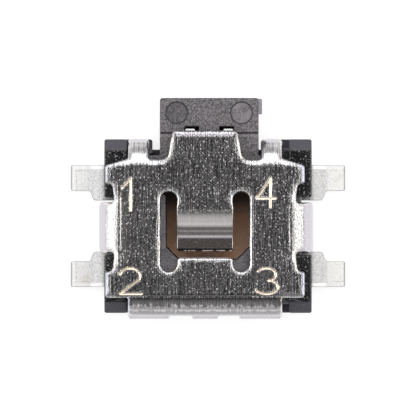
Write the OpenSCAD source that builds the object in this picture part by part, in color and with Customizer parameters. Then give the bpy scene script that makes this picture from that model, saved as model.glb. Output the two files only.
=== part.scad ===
// Side-push surface-mount tactile switch.
// A black moulded housing with an insert-moulded lead frame holds a snap disc under a film.
// A dark button slides in from the front, and a stamped metal cover clamps the stack together.
// Millimetres. +Z is up from the board, +Y is the side the button is pushed from,
// and the origin is the middle of the housing's footprint on the board plane.

/* [Body] */
// Width of the housing, left to right
body_w = 3.46; // [2.86:0.02:4.3]
// Depth of the housing, back to front
body_d = 2.9; // [2.4:0.02:3.6]
// Height from the board to the top of the cover
body_h = 1.35; // [1.12:0.01:1.8]
// Chamfer along the housing's upper front and back edges
edge_chamfer = 0.18; // [0.05:0.01:0.22]

/* [Cover] */
// Thickness of the cover's sheet
cover_t = 0.15; // [0.1:0.01:0.18]
// Inside radius of the front flaps' bends
end_bend_r = 0.3; // [0.15:0.01:0.32]
// Inside radius of the back flap's bend
back_bend_r = 0.2; // [0.15:0.01:0.32]
// Inside radius of the side flaps' bends
side_bend_r = 0.235; // [0.15:0.005:0.25]
// How far the front and back flaps stand out past the housing
end_flap_proud = 0.06; // [0.02:0.01:0.1]
// How far the side flaps stand out past the housing
side_flap_proud = 0.04; // [0.02:0.01:0.1]
// Play between the cover and its seats, each way
cover_play = 0.05; // [0.05:0.01:0.07]
// Place of the cover in its play, to the right of the middle
cover_shift_x = -0.05; // [-0.05:0.005:0.05]
// Place of the cover in its play, in front of the middle
cover_shift_y = -0.025; // [-0.03:0.005:0.03]
// Width of each front flap
front_flap_w = 0.36; // [0.25:0.01:0.4]
// Height of the front flaps' lower edges above the board
front_flap_z = 0.6; // [0.3:0.05:0.7]
// Height of the back flap's lower edge above the board
back_flap_z = 0.5; // [0.3:0.05:0.7]
// Height of the side flaps' claws above the board
claw_z = 0.11; // [0.05:0.01:0.15]
// How far each claw reaches in under the housing
claw_reach = 0.12; // [0.05:0.01:0.15]
// Length of each side flap along the body
side_flap_w = 0.84; // [0.5:0.01:0.9]
// Length of each relief notch beside a side flap
relief_w = 0.31; // [0.2:0.005:0.34]
// How far the cover's corner lobes stay inside the housing's sides
lobe_inset = 0.05; // [0.05:0.01:0.1]
// Width of the visor over the button, at its tip
visor_tip_w = 1.09; // [0.8:0.01:1.2]
// Width of the visor at its root
visor_root_w = 1.25; // [1:0.01:1.3]
// How far the visor reaches past the housing's front
visor_reach = 0.17; // [0.05:0.01:0.3]

/* [Cover window and tongue] */
// Width of the spring tongue in the window
tongue_w = 0.94; // [0.7:0.01:1]
// Width of the slot on each side of the tongue
slot_w = 0.27; // [0.2:0.01:0.3]
// Front end of the slots, from the middle of the body
slot_front = 0.61; // [0.5:0.01:0.7]
// Back end of the slots, from the middle of the body
slot_back = -0.73; // [-0.8:0.01:-0.65]
// Back edge of the window between the slots
window_back = -0.5; // [-0.55:0.01:-0.46]
// Place of the tongue's tip
tongue_tip = -0.385; // [-0.42:0.005:-0.36]
// Place where the tongue starts to bend down
tongue_bend = 0.26; // [0.22:0.01:0.32]
// How far the tongue's tip lies below the cover
tongue_drop = 0.2; // [0.1:0.01:0.22]

/* [Button] */
// Width of the button's head
button_w = 1.65; // [1.35:0.005:2]
// How far the button stands out of the housing's front
button_reach = 0.69; // [0.4:0.01:1.2]
// Travel of the button
button_travel = 0.2; // [0.1:0.01:0.25]
// Height of the button head's underside above the board
button_floor = 0.3; // [0.1:0.01:0.4]
// Side play between the button and its opening, on each side
button_play = 0.107; // [0.07:0.001:0.12]
// Place of the button in its play, to the right of the middle
button_shift = 0.02; // [-0.02:0.01:0.02]

/* [Terminals] */
// How far each terminal reaches out past the housing's side
terminal_reach = 0.57; // [0.5:0.01:0.9]
// Thickness of the lead frame
lead_t = 0.12; // [0.08:0.01:0.14]
// Outer edge of each terminal, from the middle of the body
terminal_outer = 1.02; // [0.95:0.01:1.1]
// Width of a terminal's tip
tip_w = 0.43; // [0.3:0.01:0.5]
// Width of a terminal at its root
root_w = 0.59; // [0.5:0.01:0.62]
// Length of the narrow tip
tip_length = 0.32; // [0.2:0.01:0.34]

/* [Snap disc] */
// Diameter of the snap disc
disc_d = 1.2; // [1:0.01:1.26]
// Height of the disc's crown inside
disc_rise = 0.14; // [0.1:0.01:0.16]
// Thickness of the disc
disc_t = 0.04; // [0.03:0.01:0.06]
// Thickness of the film over the disc
film_t = 0.04; // [0.025:0.005:0.06]
// Width and length of the well that holds the film
well_w = 1.41; // [1.36:0.01:1.44]
// Back wall of the well, from the middle of the body
well_back = -0.56; // [-0.58:0.005:-0.54]

/* [Hidden] */
$fn = 64;

// Small measures: cuts run past a face by over, and loose fits keep fit.
over = 0.05;
fit = 0.01;
slide_gap = 0.02;

// Heights above the board, from the bottom up
centre_frame_z = 0.1;
outer_frame_z = centre_frame_z + 0.04;
contact_z = outer_frame_z + lead_t;
well_floor_z = contact_z - 0.02;
disc_top_z = contact_z + disc_rise + disc_t;
film_z = disc_top_z + 0.005;
film_top_z = film_z + film_t;
seat_top_z = body_h - cover_t;
guide_floor_z = film_top_z + 0.065;

// Plan of the body
half_w = body_w / 2;
half_d = body_d / 2;
end_outer = end_bend_r + cover_t;
back_outer = back_bend_r + cover_t;
side_outer = side_bend_r + cover_t;
side_face = half_w + side_flap_proud;
end_face = half_d + end_flap_proud;
lobe_side = half_w - lobe_inset;
end_bend = end_face - end_outer;
back_bend = end_face - back_outer;
side_bend = side_face - side_outer;
lobe_back = half_d - 0.28;
lobe_slope = 0.13;
lobe_front = lobe_back - lobe_slope;
relief_x = half_w - 0.19;
relief_r = 0.09;
relief_reach = side_flap_w / 2 + relief_w;

// The opening for the button, and the front flaps beside it
opening = button_w / 2 + button_play;
flap_inner = opening;
flap_outer = opening + front_flap_w;
visor_edge = half_d - 0.3;
visor_tip = half_d + visor_reach;
visor_corner_r = 0.07;
visor_root_r = 0.1;
flap_root_r = 0.06;
claw_r = 0.04;
claw_w = side_flap_w - 0.1;
claw_outer = claw_r + cover_t;
claw_in = side_face - cover_t - claw_r - claw_reach;
front_leg = body_h - end_outer - front_flap_z;
back_leg = body_h - back_outer - back_flap_z;
side_leg = body_h - side_outer - claw_outer - claw_z;
seat_room = 2 * (cover_play + fit);

// The back flap's notches, each with its middle and its width
tab_notches = [[-0.405, 0.35], [0.4, 0.32]];
tab_notch_h = 0.14;

// The button's head
button_half = button_w / 2;
button_front = half_d + button_reach;
button_top = seat_top_z - 0.03;
head_back = visor_tip - 0.04;
head_corner_r = 0.04;
pin_mark_d = 0.37;
pin_mark_x = button_half - 0.285;
pin_mark_y = button_front - 0.25;
pin_mark_depth = 0.012;
gate_size = [0.06, 0.27, 0.35];
gate_z = button_floor + 0.2;

// The button's guide arms and shoulders, and the room they slide in
arm_top = button_top - 0.04;
wall_back = half_d - 0.25;
porch = half_d - 0.17;
shoulder_front = wall_back - slide_gap;
shoulder_length = 0.4;
arm_back = shoulder_front - shoulder_length;
shoulder_catch = 0.255;
shoulder_half = button_half + shoulder_catch;
end_clearance = 0.05;
cavity_back = arm_back - button_travel - end_clearance;
cavity_half = shoulder_half + abs(button_shift) + end_clearance;

// The slots beside the spring arm, and the rib along its top
slot_root = visor_tip + 0.045;
slot_outer = 0.415;
slot_inner = 0.24;
slot_step = 0.018;
rib_half = 0.17;
rib_h = 0.2;
rib_z = arm_top - rib_h;

// The well and the disc in it
well_y = well_back + well_w / 2;
well_chamfer = 0.21;
recess_d = disc_d + 0.06;
pad_window_d = 0.34;
pad_d = pad_window_d + 0.06;

// The tongue's bends: a crest that turns down and a toe that turns level again
tongue_angle = 34;
crest_r = 0.25;
crest_outer = crest_r + cover_t;
toe_r = 0.134;
bend_fall = (crest_outer + toe_r) * (1 - cos(tongue_angle));
ramp_fall = max(tongue_drop - bend_fall, 0);
ramp_run = ramp_fall / tan(tongue_angle);
crest_run = crest_outer * sin(tongue_angle);
toe_run = toe_r * sin(tongue_angle);

// The nose at the end of the spring arm, kept clear of the tongue through the whole travel
arm_under = film_top_z + 0.14;
nose_under = film_top_z + slide_gap;
nose_half = tongue_w / 2 - 0.07;
nose_front = 0.6;
nose_pad = 0.28;
nose_lead = 0.14;
nose_top = seat_top_z - tongue_drop - 0.03;
ramp_gap = button_travel + 0.05;
crest_y = tongue_bend - crest_run * 0.3 + ramp_gap;
toe_y = crest_y - (arm_top - nose_top) / tan(tongue_angle);

// The lead frame in plan
tip_x = half_w + terminal_reach;
shoulder_x = tip_x - tip_length;
claw_pocket_in = claw_in - cover_play - slide_gap;
spine_w = 0.25;
spine_outer = claw_pocket_in - 0.08;
spine_inner = spine_outer - spine_w;
ring_outer = disc_d / 2 + 0.03;
ring_inner = disc_d / 2 - 0.16;
branch_w = 0.3;

// The holes that the mould's support pins leave
support_d = 0.2;
support_x = spine_outer - spine_w / 2;
support_spread = 0.55;

// A square given by its corners
module corners(low, high) {
    translate(low) square(high - low);
}

// A block given by its corners
module block(low, high) {
    translate(low) cube(high - low);
}

// The same shape on the left and on the right
module both_sides() {
    children();
    mirror([1, 0, 0]) children();
}

// The web of material that rounds an inside corner at the origin
module inside_round(radius) {
    difference() {
        square(radius);
        translate([radius, radius]) circle(radius);
    }
}

// A rectangle whose corners are round
module round_square(low, high, radius) {
    corners(low + [radius, 0], high - [radius, 0]);
    corners(low + [0, radius], high - [0, radius]);
    for (x = [low.x + radius, high.x - radius], y = [low.y + radius, high.y - radius])
        translate([x, y]) circle(radius);
}

// A sheet's bend in section: it starts level at the origin, turns down away from +X
module bend_section(outer, leg) {
    inner = outer - cover_t;
    translate([0, -outer]) {
        intersection() {
            difference() {
                circle(outer);
                circle(inner);
            }
            square(outer);
        }
        corners([inner, -leg], [outer, 0]);
    }
}

// The claw below a side flap, which turns in under the housing
module claw_section(outer, leg) {
    translate([outer - claw_outer, -outer - leg]) {
        intersection() {
            difference() {
                circle(claw_outer);
                circle(claw_r);
            }
            corners([0, -claw_outer], [claw_outer, 0]);
        }
        corners([-claw_reach, -claw_outer], [0, -claw_r]);
    }
}

// Stands a section up as a flap that faces +X and starts its bend at x
module flap_at(x, width) {
    translate([x, width / 2, body_h])
        rotate([90, 0, 0])
            linear_extrude(width) children();
}

// What a flap and its bend take out of the housing, down to its lower end, with its play
module flap_seat_section(outer, leg) {
    seat_r = outer - cover_t - fit;
    reach = outer + 2 * cover_play + over;
    translate([-cover_play, -outer]) {
        difference() {
            square([reach, outer + over]);
            circle(seat_r);
        }
        corners([seat_r, -leg - slide_gap], [reach, fit]);
    }
}

// Plan of the cover's flat plate, with no window
module plate_plan() {
    difference() {
        union() {
            both_sides() polygon([
                [0, -lobe_back],
                [lobe_side, -lobe_back],
                [lobe_side, lobe_front],
                [flap_outer, lobe_back],
                [flap_outer, visor_edge],
                [0, visor_edge]
            ]);
            both_sides() {
                translate([visor_root_w / 2 - fit, visor_edge]) inside_round(visor_root_r);
                translate([flap_inner, visor_edge]) mirror([1, 0]) inside_round(flap_root_r);
            }
            visor_plan();
        }
        both_sides() {
            for (side = [-1, 1])
                scale([1, side]) round_square(
                    [relief_x, side_flap_w / 2 - over],
                    [half_w + relief_r, relief_reach],
                    relief_r
                );
            corners([side_bend, -side_flap_w / 2], [half_w + over, side_flap_w / 2]);
            corners([flap_inner, end_bend], [flap_outer, half_d]);
            corners([-over, -half_d], [flap_outer, -back_bend]);
        }
    }
}

// Plan of the visor over the button, with its front corners round
module visor_plan() {
    corner_x = visor_tip_w / 2 - visor_corner_r;
    corner_y = visor_tip - visor_corner_r;
    both_sides() {
        polygon([
            [0, visor_edge], [visor_root_w / 2, visor_edge],
            [visor_tip_w / 2, corner_y], [0, corner_y]
        ]);
        corners([0, visor_edge], [corner_x, visor_tip]);
        translate([corner_x, corner_y]) circle(visor_corner_r);
    }
}

// The window: two slots with round ends, joined behind the tongue's tip
module window_plan() {
    slot_mid = tongue_w / 2 + slot_w / 2;
    both_sides() {
        translate([slot_mid, slot_front - slot_w / 2]) circle(d = slot_w);
        translate([slot_mid, slot_back + slot_w / 2]) circle(d = slot_w);
        corners(
            [tongue_w / 2, slot_back + slot_w / 2],
            [tongue_w / 2 + slot_w, slot_front - slot_w / 2]
        );
    }
    corners([-slot_mid, window_back], [slot_mid, tongue_bend]);
}

// The tongue's side view, drawn with its run along -X and its top at the origin
module tongue_section() {
    toe_top = [-crest_run - ramp_run - toe_run, -tongue_drop];
    ramp_top = [-crest_run, -crest_outer * (1 - cos(tongue_angle))];
    slope = [-cos(tongue_angle), -sin(tongue_angle)];
    inward = [sin(tongue_angle), -cos(tongue_angle)] * cover_t;
    ramp_end = ramp_top + slope * ramp_fall / sin(tongue_angle);
    translate([0, -crest_outer]) intersection() {
        difference() {
            circle(crest_outer);
            circle(crest_r);
        }
        polygon([
            [0, 0], [0, crest_outer * 2],
            [-tan(tongue_angle), 1] * crest_outer * 2
        ]);
    }
    polygon([ramp_top, ramp_end, ramp_end + inward, ramp_top + inward]);
    translate([toe_top.x, toe_top.y + toe_r]) intersection() {
        difference() {
            circle(toe_r + cover_t);
            circle(toe_r);
        }
        polygon([
            [0, 0], [0, -toe_r * 3],
            [tan(tongue_angle), -1] * toe_r * 3
        ]);
    }
    corners(
        [tongue_tip - tongue_bend, -tongue_drop - cover_t],
        [toe_top.x, -tongue_drop]
    );
}

module cover() color("silver") translate([cover_shift_x, cover_shift_y, 0]) {
    translate([0, 0, seat_top_z]) linear_extrude(cover_t) difference() {
        plate_plan();
        window_plan();
    }
    translate([tongue_w / 2, tongue_bend, body_h])
        rotate([90, 0, -90])
            linear_extrude(tongue_w) mirror([1, 0]) tongue_section();
    both_sides() {
        flap_at(side_bend, side_flap_w) bend_section(side_outer, side_leg);
        flap_at(side_bend, claw_w) claw_section(side_outer, side_leg);
    }
    both_sides() translate([(flap_inner + flap_outer) / 2, 0, 0]) rotate(90)
        flap_at(end_bend, front_flap_w) bend_section(end_outer, front_leg);
    rotate(-90) difference() {
        flap_at(back_bend, flap_outer * 2) bend_section(back_outer, back_leg);
        for (notch = tab_notches)
            tab_notch(notch[0], notch[1]);
    }
}

// A notch in the back flap's lower edge, seen from behind
module tab_notch(middle, width) {
    block(
        [end_face - cover_t - over, middle - width / 2, back_flap_z - over],
        [end_face + over, middle + width / 2, back_flap_z + tab_notch_h]
    );
}

module housing() color([0.1, 0.1, 0.11]) difference() {
    block([-half_w, -half_d, 0], [half_w, half_d, seat_top_z]);
    chamfer_cuts();
    cover_seats();
    button_room();
    disc_well();
    centre_contact_frame();
    outer_contact_frame();
    support_holes();
}

// Chamfers along the top of the front and the back
module chamfer_cuts() {
    for (side = [-1, 1])
        scale([1, side, 1]) translate([-half_w - over, half_d, seat_top_z])
            rotate([90, 0, 90]) linear_extrude(body_w + 2 * over)
                polygon([
                    [-edge_chamfer - over, over], [over, over],
                    [over, -edge_chamfer - over]
                ]);
}

// Seats for the cover's flaps, and the pockets below for the claws
module cover_seats() {
    side_seat_w = side_flap_w + seat_room;
    both_sides() flap_at(side_bend, side_seat_w)
        flap_seat_section(side_outer, side_leg + body_h);
    both_sides() block(
        [claw_pocket_in, -side_seat_w / 2, -over],
        [side_face, side_seat_w / 2, claw_z + claw_outer + fit]
    );
    both_sides() translate([(flap_inner + flap_outer) / 2, 0, 0]) rotate(90)
        flap_at(end_bend, front_flap_w + seat_room)
            flap_seat_section(end_outer, front_leg);
    rotate(-90) difference() {
        flap_at(back_bend, flap_outer * 2 + seat_room)
            flap_seat_section(back_outer, back_leg);
        for (notch = tab_notches)
            notch_key(notch[0], notch[1]);
    }
}

// A small key on the housing's back, which fills a notch of the back flap
module notch_key(middle, width) {
    key_half = width / 2 - cover_play - fit;
    block(
        [0, middle - key_half, 0],
        [end_face, middle + key_half, back_flap_z + tab_notch_h - slide_gap]
    );
}

// The space that the button slides in: a porch, the opening and a cavity for its shoulders
module button_room() {
    block([-opening, porch, -over], [opening, half_d + over, body_h]);
    block([-opening, cavity_back, guide_floor_z], [opening, half_d, body_h]);
    block([-cavity_half, cavity_back, guide_floor_z], [cavity_half, wall_back, body_h]);
}

// The well's plan: a square with its back corners cut off
module well_plan(gap) {
    side = well_w / 2 - gap;
    cut = well_chamfer;
    translate([0, well_y]) polygon([
        [-side + cut, -side], [side - cut, -side], [side, -side + cut],
        [side, side - cut], [side - cut, side], [-side + cut, side],
        [-side, side - cut], [-side, -side + cut]
    ]);
}

// The well for the film, and the round recess below it for the disc
module disc_well() {
    translate([0, 0, film_z]) linear_extrude(body_h) well_plan(0);
    translate([0, well_y, well_floor_z]) cylinder(d = recess_d, h = body_h);
    translate([0, well_y, centre_frame_z + lead_t - fit])
        cylinder(d = pad_window_d, h = body_h);
}

// Holes in the underside, left by the pins that held the lead frame in the mould
module support_holes() {
    translate([0, well_y, -over]) cylinder(d = support_d, h = centre_frame_z + over);
    both_sides() for (side = [-1, 1])
        translate([support_x, side * support_spread, -over])
            cylinder(d = support_d, h = centre_frame_z + over);
}

module push_button() color([0.33, 0.31, 0.32]) translate([button_shift, 0, 0])
    difference() {
        union() {
            button_head();
            both_sides() guide_arm();
            spring_arm();
        }
        both_sides() translate([pin_mark_x, pin_mark_y, button_top - pin_mark_depth])
            cylinder(d = pin_mark_d, h = over);
    }

// The head that the finger meets, with the slots' front ends and the gate's stub
module button_head() {
    difference() {
        translate([0, 0, button_floor]) linear_extrude(button_top - button_floor)
            round_square(
                [-button_half, head_back],
                [button_half, button_front],
                head_corner_r
            );
        both_sides() button_slot();
    }
    block(
        [button_half - over, button_front - gate_size.y, gate_z],
        [button_half + gate_size.x, button_front - fit, gate_z + gate_size.z]
    );
}

// The slot that frees the spring arm: narrow below, wider above
module button_slot() {
    block([slot_inner, 0, 0], [slot_outer - slot_step, slot_root - 2 * slot_step, body_h]);
    block([rib_half, 0, rib_z], [slot_outer, slot_root, body_h]);
}

// A guide arm, with the shoulder that stops the button from leaving the housing
module guide_arm() {
    low = guide_floor_z + slide_gap;
    block([slot_outer, arm_back, low], [button_half, head_back + over, arm_top]);
    block(
        [slot_outer, shoulder_front - shoulder_length, low],
        [shoulder_half, shoulder_front, arm_top]
    );
}

// The spring arm, and at its end the nose that the tongue presses on the disc
module spring_arm() {
    root_y = slot_root + over;
    tip_y = toe_y - nose_lead;
    block([-slot_inner, nose_front - over, arm_under], [slot_inner, root_y, rib_z]);
    block([-rib_half, nose_front - over, arm_under], [rib_half, root_y, arm_top]);
    translate([-nose_half, 0, 0]) rotate([90, 0, 90]) linear_extrude(nose_half * 2)
        polygon([
            [tip_y, arm_under], [toe_y, nose_under],
            [toe_y + nose_pad, nose_under], [nose_front, arm_under],
            [nose_front, arm_top], [crest_y, arm_top],
            [toe_y, nose_top], [tip_y, nose_top]
        ]);
}

module protective_film() color([0.45, 0.3, 0.2]) {
    translate([0, 0, film_z]) linear_extrude(film_t) well_plan(fit);
}

module snap_disc() color("gainsboro") {
    rim = disc_d / 2;
    ball_r = (rim * rim + disc_rise * disc_rise) / (2 * disc_rise);
    translate([0, well_y, contact_z]) intersection() {
        translate([0, 0, disc_rise - ball_r]) difference() {
            sphere(ball_r + disc_t);
            sphere(ball_r);
        }
        cylinder(r = rim, h = disc_rise + disc_t);
    }
}

// Plan of the two terminals on the right, and the spine that joins them
module terminal_plan() {
    for (side = [-1, 1])
        scale([1, side]) {
            corners([spine_inner, terminal_outer - root_w], [shoulder_x, terminal_outer]);
            corners([shoulder_x - over, terminal_outer - tip_w], [tip_x, terminal_outer]);
        }
    corners([spine_inner, -terminal_outer], [spine_inner + spine_w, terminal_outer]);
}

// Side view of a terminal plate that lies at height z in the housing and joggles down outside
module joggle_section(z) {
    polygon([
        [0, z], [half_w + fit, z], [shoulder_x, 0], [tip_x, 0],
        [tip_x, lead_t], [shoulder_x, lead_t], [half_w + fit, z + lead_t],
        [0, z + lead_t]
    ]);
}

// A terminal plate: its plan, taken out of the joggled strip
module terminal_plate(z) {
    intersection() {
        linear_extrude(body_h) terminal_plan();
        translate([0, terminal_outer + over, 0]) rotate([90, 0, 0])
            linear_extrude(2 * (terminal_outer + over)) joggle_section(z);
    }
}

module centre_contact_frame() color("gold") {
    mirror([1, 0, 0]) terminal_plate(centre_frame_z);
    translate([0, 0, centre_frame_z]) linear_extrude(lead_t) {
        corners(
            [-spine_inner - fit, well_y - branch_w / 2],
            [0, well_y + branch_w / 2]
        );
        translate([0, well_y]) circle(d = pad_d);
    }
}

module outer_contact_frame() color("khaki") {
    terminal_plate(outer_frame_z);
    translate([0, 0, outer_frame_z]) linear_extrude(lead_t) {
        difference() {
            translate([0, well_y]) circle(ring_outer);
            translate([0, well_y]) circle(ring_inner);
            corners(
                [-ring_outer - over, well_y - branch_w],
                [0, well_y + branch_w]
            );
        }
        corners(
            [ring_inner + over, well_y - branch_w / 2],
            [spine_inner + fit, well_y + branch_w / 2]
        );
    }
}

housing();
cover();
push_button();
protective_film();
snap_disc();
centre_contact_frame();
outer_contact_frame();
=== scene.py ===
import math

import bmesh
import bpy
import numpy as np
from mathutils.geometry import delaunay_2d_cdt
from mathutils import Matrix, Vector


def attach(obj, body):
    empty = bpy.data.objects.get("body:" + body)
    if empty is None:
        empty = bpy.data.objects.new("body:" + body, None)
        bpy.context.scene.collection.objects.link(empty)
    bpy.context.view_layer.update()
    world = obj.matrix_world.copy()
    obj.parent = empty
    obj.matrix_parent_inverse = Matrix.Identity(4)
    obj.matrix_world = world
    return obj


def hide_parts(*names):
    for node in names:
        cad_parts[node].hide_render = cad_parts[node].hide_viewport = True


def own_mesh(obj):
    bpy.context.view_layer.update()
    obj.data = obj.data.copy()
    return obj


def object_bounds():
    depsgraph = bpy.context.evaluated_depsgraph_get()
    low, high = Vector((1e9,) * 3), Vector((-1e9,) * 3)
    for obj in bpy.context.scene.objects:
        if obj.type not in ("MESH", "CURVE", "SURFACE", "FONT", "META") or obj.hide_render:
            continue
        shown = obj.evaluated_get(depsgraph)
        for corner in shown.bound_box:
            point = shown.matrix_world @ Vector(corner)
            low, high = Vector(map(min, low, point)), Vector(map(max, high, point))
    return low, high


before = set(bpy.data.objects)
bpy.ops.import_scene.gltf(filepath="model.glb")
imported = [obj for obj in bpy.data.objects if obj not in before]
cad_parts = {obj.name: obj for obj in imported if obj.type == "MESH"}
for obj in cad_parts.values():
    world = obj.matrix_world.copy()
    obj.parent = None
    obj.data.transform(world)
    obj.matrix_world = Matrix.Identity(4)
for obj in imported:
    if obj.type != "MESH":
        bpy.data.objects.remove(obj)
cad_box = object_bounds()

# ----------------------------------------------------------------------
# Studio: a pale floor that runs out of sight and a soft sky, dim overhead and bright round the
# horizon, with soft lamps round the part. The camera looks straight down through a long lens.
# ----------------------------------------------------------------------
MM = 0.001
part_low, part_high = cad_box
part_mid = (part_low + part_high) / 2


class Wire:
    """A socket of a node tree. An operator between wires or numbers adds the Math node for it."""

    def __init__(self, tree, socket=None):
        self.tree, self.socket = tree, socket

    def node(self, kind, settings=None, inputs=None, out=0):
        """Adds a node of a kind: its settings first, then a value or a wire for each input."""
        new = self.tree.nodes.new(kind)
        for name, value in (settings or {}).items():
            setattr(new, name, value)
        for name, value in (inputs or {}).items():
            if isinstance(value, Wire):
                self.tree.links.new(value.socket, new.inputs[name])
            else:
                new.inputs[name].default_value = value
        return Wire(self.tree, new.outputs[out])

    def math(self, operation, *values):
        """One Math node with its values or wires in their order."""
        return self.node("ShaderNodeMath", {"operation": operation}, dict(enumerate(values)))

    def __add__(self, other):
        return self.math("ADD", self, other)

    def __sub__(self, other):
        return self.math("SUBTRACT", self, other)

    def __rsub__(self, other):
        return self.math("SUBTRACT", other, self)

    def __mul__(self, other):
        return self.math("MULTIPLY", self, other)

    def __truediv__(self, other):
        return self.math("DIVIDE", self, other)

    def __abs__(self):
        return self.math("ABSOLUTE", self)

    __radd__ = __add__
    __rmul__ = __mul__

    def axis(self, name):
        """The X, Y or Z part of a vector."""
        return self.node("ShaderNodeSeparateXYZ", inputs={"Vector": self}, out=name)

    def between(self, low, high):
        """Runs smoothly from 0 where the wire is low to 1 where it is high."""
        return self.node(
            "ShaderNodeMapRange",
            {"interpolation_type": "SMOOTHSTEP"},
            {"Value": self, "From Min": low, "From Max": high},
        )

    def band(self, *ends):
        """Rises between the first two of four ends and falls between the last two."""
        return self.between(*ends[:2]) * self.between(*ends[:1:-1])


def clear_tree(owner):
    """Empties the node tree of a material or a world and gives a wire to start from."""
    owner.use_nodes = True
    owner.node_tree.nodes.clear()
    return Wire(owner.node_tree)


def new_material(piece, name):
    """Gives a piece a new material with an empty tree, and gives a wire to start from."""
    material = bpy.data.materials.new(name)
    piece.data.materials.clear()
    piece.data.materials.append(material)
    return clear_tree(material)


def finish_tree(shader, kind="ShaderNodeOutputMaterial"):
    """Joins a shader to its tree's output."""
    end = shader.tree.nodes.new(kind)
    shader.tree.links.new(shader.socket, end.inputs["Surface"])


SKY_OVERHEAD, SKY_RING, SKY_BEHIND = 0.085, 0.72, 0.47
SKY_TOP, SKY_REAR = (0.72, 0.95), (0.35, 0.9)
SKY_WHITE = (1.0, 0.99, 0.985, 1)

sky = bpy.data.worlds.new("soft_sky")
bpy.context.scene.world = sky
start = clear_tree(sky)
direction = start.node("ShaderNodeTexCoord", out="Generated")
overhead = direction.axis("Z").between(*SKY_TOP)
behind = (direction.axis("Y") * -1).between(*SKY_REAR)
ring = SKY_RING + behind * (SKY_BEHIND - SKY_RING)
level = ring + overhead * (SKY_OVERHEAD - ring)
finish_tree(start.node("ShaderNodeBackground", inputs={"Color": SKY_WHITE, "Strength": level}),
            "ShaderNodeOutputWorld")

FLOOR_RADIUS, FLOOR_RINGS, FLOOR_STEPS, FLOOR_Z = 150.0, 12, 48, -0.002
FLOOR_GLOW, FLOOR_GREY = 0.80, (0.34, 0.34, 0.34, 1)


def heading(angle):
    """The x and y of a step of one at each angle, its cosine and its sine."""
    return np.stack([np.cos(angle), np.sin(angle)], -1)


def polar_grid(radii, around):
    """Points of rings of growing radius round the origin, as rings by steps around by two."""
    return radii[:, None, None] * heading(np.linspace(0, 2 * np.pi, around, endpoint=False))


def placed(name, data):
    """A new object of some data, put in the scene."""
    item = bpy.data.objects.new(name, data)
    bpy.context.scene.collection.objects.link(item)
    return item


def put_mesh(name, points, faces, normals=None):
    """Makes a piece of points in millimetres and faces, with a normal for each point if given."""
    mesh = bpy.data.meshes.new(name)
    mesh.from_pydata((np.asarray(points, float) * MM).tolist(), [], faces)
    mesh.update()
    mesh.polygons.foreach_set("use_smooth", np.ones(len(mesh.polygons), bool))
    if normals is not None:
        mesh.normals_split_custom_set_from_vertices(np.asarray(normals, float).tolist())
    return placed(name, mesh)


def grid_quads(rows, columns, first=0, closed=False):
    """The quads of a grid whose points run row by row, closed round its columns or not."""
    row = np.arange(rows - 1)[:, None]
    column = np.arange(columns if closed else columns - 1)[None, :]
    after = (column + 1) % columns
    corners = [row * columns + column, row * columns + after,
               (row + 1) * columns + after, (row + 1) * columns + column]
    return (np.stack(np.broadcast_arrays(*corners), -1).reshape(-1, 4) + first).tolist()


floor_xy = polar_grid(
    np.geomspace(1.0, FLOOR_RADIUS, FLOOR_RINGS), FLOOR_STEPS).reshape(-1, 2)
floor_faces = [face[::-1] for face in grid_quads(FLOOR_RINGS, FLOOR_STEPS, closed=True)]
floor = put_mesh(
    "floor", np.column_stack([floor_xy, np.full(len(floor_xy), FLOOR_Z)]),
    floor_faces + [list(range(FLOOR_STEPS))])
start = new_material(floor, "pale_floor")
seen, mirrored, through = (
    start.node("ShaderNodeLightPath", out=f"Is {ray} Ray")
    for ray in ("Camera", "Glossy", "Transmission"))
glow = start.node("ShaderNodeEmission", inputs={
    "Color": (1, 1, 1, 1), "Strength": (seen + mirrored + through) * FLOOR_GLOW})
matt = start.node("ShaderNodeBsdfDiffuse", inputs={"Color": FLOOR_GREY})
finish_tree(start.node("ShaderNodeAddShader", inputs={0: glow, 1: matt}))

# Square lamps that face the middle of the part: place and size in millimetres, and radiance.
for name, place, size, radiance, colour in (
    ("lamp_left", (-15, 2, 10), 17, 2.0, (1.0, 0.985, 0.97)),
    ("lamp_right", (15, 2, 10), 17, 2.0, (1.0, 0.985, 0.97)),
    ("lamp_front", (0, 13, 14), 12, 2.8, (0.97, 0.98, 1.0)),
    ("lamp_back", (0, -12, 14), 13, 0.62, (1.0, 0.99, 0.98)),
):
    lamp_data = bpy.data.lights.new(name, "AREA")
    lamp_data.shape, lamp_data.size = "SQUARE", size * MM
    lamp_data.energy = radiance * math.pi * (size * MM) ** 2
    lamp_data.color = colour
    lamp = placed(name, lamp_data)
    lamp.location = part_mid + Vector(place) * MM
    lamp.rotation_mode = "QUATERNION"
    lamp.rotation_quaternion = Vector(place).to_track_quat("Z", "Y")
    lamp.visible_camera = False

LENS, SENSOR, VIEW_MARGIN = 1000, 36, 1.507
view_width = (part_high.x - part_low.x) * VIEW_MARGIN
camera_data = bpy.data.cameras.new("camera")
camera_data.lens, camera_data.sensor_width = LENS, SENSOR
camera_data.clip_start, camera_data.clip_end = 0.01, 1.0
camera = placed("camera", camera_data)
camera.location = (part_mid.x, part_mid.y, part_high.z + view_width / SENSOR * LENS)
bpy.context.scene.camera = camera
bpy.context.scene.view_settings.view_transform = "Standard"


# ----------------------------------------------------------------------
# Housing: black glass-filled resin, moulded round the lead frame, with glass specks all over. The
# corner posts show beside the cover: a painted sheen on their chamfer front and back, and painted
# shade on their smoother tops under the cover's edge, with painted glints.
# ----------------------------------------------------------------------
RESIN, RESIN_PALE = (0.022, 0.021, 0.023), (0.152, 0.142, 0.155)
# The chamfer band is a painted sheen, and the near black is a painted shade on the post tops.
RESIN_CHAMFER_SHEEN, RESIN_SHADE = (0.058, 0.055, 0.068), (0.003, 0.003, 0.0035)
# One colour for the glass specks and for the painted glints.
RESIN_SPECK_AND_GLINT = (0.42, 0.41, 0.43)
MOULD_RADIUS, MOULD_EDGE = 0.030, 0.17
FLAT, CORNER, SHARP = math.radians(2), math.radians(30), math.radians(40)
POST_SIDE, POST_FACE = (1.15, 1.32), (1.262, 1.275)

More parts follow.
